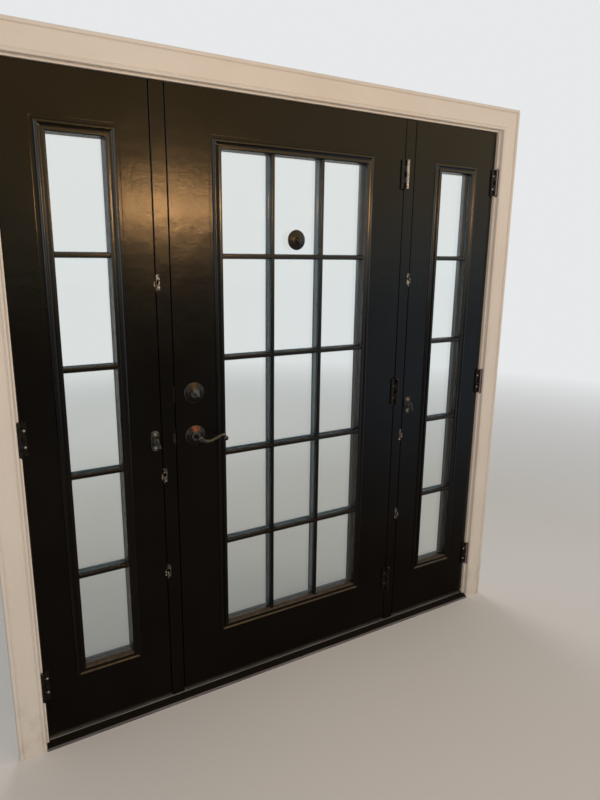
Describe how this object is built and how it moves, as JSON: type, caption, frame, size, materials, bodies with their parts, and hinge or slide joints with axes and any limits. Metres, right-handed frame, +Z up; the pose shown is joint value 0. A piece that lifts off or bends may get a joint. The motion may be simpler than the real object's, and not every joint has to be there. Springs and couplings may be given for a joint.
{
  "type": "french door unit",
  "caption": "Black glazed french door between two narrow glazed leaves, all hinged in one white-cased wooden frame.",
  "frame": {"origin": "on the floor, at the middle of the unit's width, under the leaves' room face", "axes": "+Z up, +Y outdoors through the wall, +X to the right as seen from the room"},
  "size_m": [2.043, 0.1898, 2.1605],
  "materials": {
    "white_paint": "satin white paint",
    "black_paint": "semi-gloss black paint",
    "black_moulding": "semi-gloss black paint",
    "dark_threshold": "dark bronze, worn",
    "threshold_cap_brown": "satin",
    "seal_black": "matte",
    "hinge_black": "black paint with a worn barrel",
    "pin_steel": "worn",
    "screw_steel": "bright",
    "keeper_pale": "pale zinc",
    "strike_brass": "dull",
    "clear_glass": "clear",
    "spacer_metal": "mill",
    "bronze": "dark bronze with worn copper edges",
    "bar_steel": "zinc",
    "hook_rubber": "dark"
  },
  "bodies": {
    "frame": {"left_jamb": "white_paint", "right_jamb": "white_paint", "head_jamb": "white_paint", "left_mullion": "black_paint", "right_mullion": "black_paint", "sill": "dark_threshold", "threshold_cap": "threshold_cap_brown", "left_casing": "white_paint", "right_casing": "white_paint", "head_casing": "white_paint", "weatherstrip": "seal_black", "frame_hinges": "hinge_black", "hinge_pins": "pin_steel", "frame_screws": "screw_steel", "strikes": "strike_brass", "keepers": "keeper_pale"},
    "middle_door": {"middle_leaf": "black_paint", "middle_inner_lite_frame": "black_moulding", "middle_outer_lite_frame": "black_moulding", "middle_glass": "clear_glass", "middle_glass_spacer": "spacer_metal", "middle_sweep": "seal_black", "middle_leaf_hinges": "hinge_black", "middle_leaf_screws": "screw_steel", "inner_rose": "bronze", "outer_rose": "bronze", "latch_case": "strike_brass", "deadbolt_rose": "bronze", "deadbolt_cylinder": "bronze", "deadbolt_case": "strike_brass", "glass_hook": "hook_rubber"},
    "left_door": {"left_leaf": "black_paint", "left_inner_lite_frame": "black_moulding", "left_outer_lite_frame": "black_moulding", "left_glass": "clear_glass", "left_glass_spacer": "spacer_metal", "left_sweep": "seal_black", "left_leaf_hinges": "hinge_black", "left_leaf_screws": "screw_steel", "left_lock_strip": "keeper_pale", "left_lock_plate": "bronze"},
    "right_door": {"right_leaf": "black_paint", "right_inner_lite_frame": "black_moulding", "right_outer_lite_frame": "black_moulding", "right_glass": "clear_glass", "right_glass_spacer": "spacer_metal", "right_sweep": "seal_black", "right_leaf_hinges": "hinge_black", "right_leaf_screws": "screw_steel", "right_lock_strip": "keeper_pale", "right_lock_plate": "bronze"},
    "lever_set": {"inner_lever": "bronze", "outer_lever": "bronze"},
    "latch": {"latch_bolt": "strike_brass"},
    "turn_piece": {"thumbturn": "bronze"},
    "deadbolt": {"deadbolt_bolt": "strike_brass"},
    "left_lever": {"left_lock_lever": "bronze"},
    "left_bar": {"left_lock_bar": "bar_steel"},
    "right_lever": {"right_lock_lever": "bronze"},
    "right_bar": {"right_lock_bar": "bar_steel"}
  },
  "joints": [
    {"name": "middle_door_swing", "type": "hinge", "parent": "frame", "child": "middle_door", "pos_m": [0.4625, -0.014, 1.052], "axis": [0, 0, 1], "range_deg": [0, 90]},
    {"name": "left_door_swing", "type": "hinge", "parent": "frame", "child": "left_door", "pos_m": [-0.9325, -0.014, 1.052], "axis": [0, 0, -1], "range_deg": [0, 110]},
    {"name": "right_door_swing", "type": "hinge", "parent": "frame", "child": "right_door", "pos_m": [0.9325, -0.014, 1.052], "axis": [0, 0, 1], "range_deg": [0, 110]},
    {"name": "lever_turn", "type": "hinge", "parent": "middle_door", "child": "lever_set", "pos_m": [-0.392, 0.02225, 0.988], "axis": [0, 1, 0], "range_deg": [0, 45], "stiffness_Nm_per_rad": 0.6, "springref_deg": -20.05},
    {"name": "latch_slide", "type": "slide", "parent": "middle_door", "child": "latch", "axis": [-1, 0, 0], "range_m": [0, 0.012]},
    {"name": "thumbturn_turn", "type": "hinge", "parent": "middle_door", "child": "turn_piece", "pos_m": [-0.392, 0, 1.135], "axis": [0, 1, 0], "range_deg": [0, 90]},
    {"name": "deadbolt_slide", "type": "slide", "parent": "middle_door", "child": "deadbolt", "axis": [-1, 0, 0], "range_m": [0, 0.025]},
    {"name": "left_lever_turn", "type": "hinge", "parent": "left_door", "child": "left_lever", "pos_m": [-0.53, 0, 0.988], "axis": [0, 1, 0], "range_deg": [0, 90]},
    {"name": "left_bar_slide", "type": "slide", "parent": "left_door", "child": "left_bar", "axis": [0, 0, -1], "range_m": [0, 0.016]},
    {"name": "right_lever_turn", "type": "hinge", "parent": "right_door", "child": "right_lever", "pos_m": [0.53, 0, 0.988], "axis": [0, -1, 0], "range_deg": [0, 90]},
    {"name": "right_bar_slide", "type": "slide", "parent": "right_door", "child": "right_bar", "axis": [0, 0, -1], "range_m": [0, 0.016]}
  ],
  "couplings": [
    {"joint": "thumbturn_turn", "follows": "deadbolt_slide", "rad_per_m": 62.8},
    {"joint": "left_lever_turn", "follows": "left_bar_slide", "rad_per_m": 98.1},
    {"joint": "right_lever_turn", "follows": "right_bar_slide", "rad_per_m": 98.1}
  ]
}
